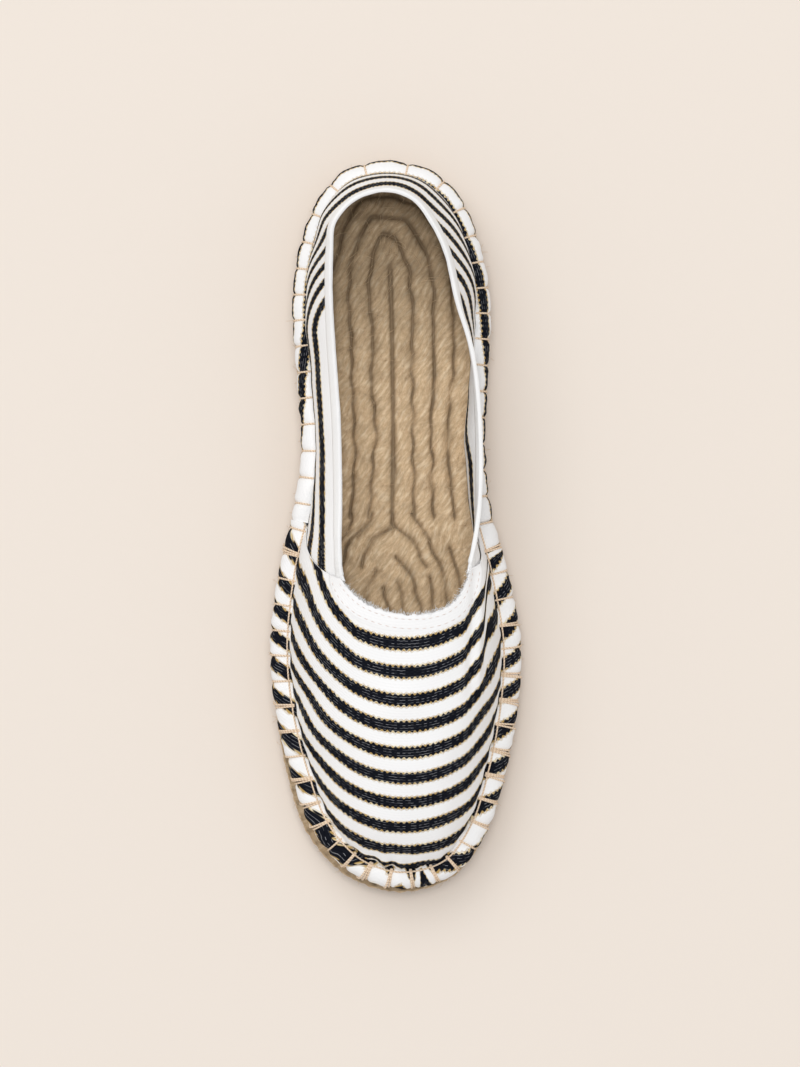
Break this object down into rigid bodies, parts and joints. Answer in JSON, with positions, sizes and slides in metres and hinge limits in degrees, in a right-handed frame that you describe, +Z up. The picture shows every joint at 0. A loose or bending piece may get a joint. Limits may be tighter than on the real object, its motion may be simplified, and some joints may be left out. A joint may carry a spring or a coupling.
{
  "type": "espadrille",
  "caption": "Low slip-on canvas shoe on a flat plaited jute sole with a thin rubber outsole; the canvas edge is stitched over the sole as a roll.",
  "frame": {"origin": "on the floor under the middle of the part's box", "axes": "+Z up, +Y towards the heel along the shoe's length, +X towards the inner side of the foot"},
  "size_m": [0.0868, 0.254, 0.0683],
  "materials": {
    "rubber": "matt tan crepe rubber with a fine cross-hatched tread",
    "jute": "plaited raw jute, coarse twisted strands with loose hairs",
    "canvas": "white ribbed cotton canvas with woven near-black stripes edged in gold-coloured dots",
    "tape": "plain white cotton binding tape"
  },
  "bodies": {
    "root": {"outsole": "rubber", "jute_sole": "jute", "upper": "canvas", "collar_tape": "tape"}
  },
  "joints": []
}
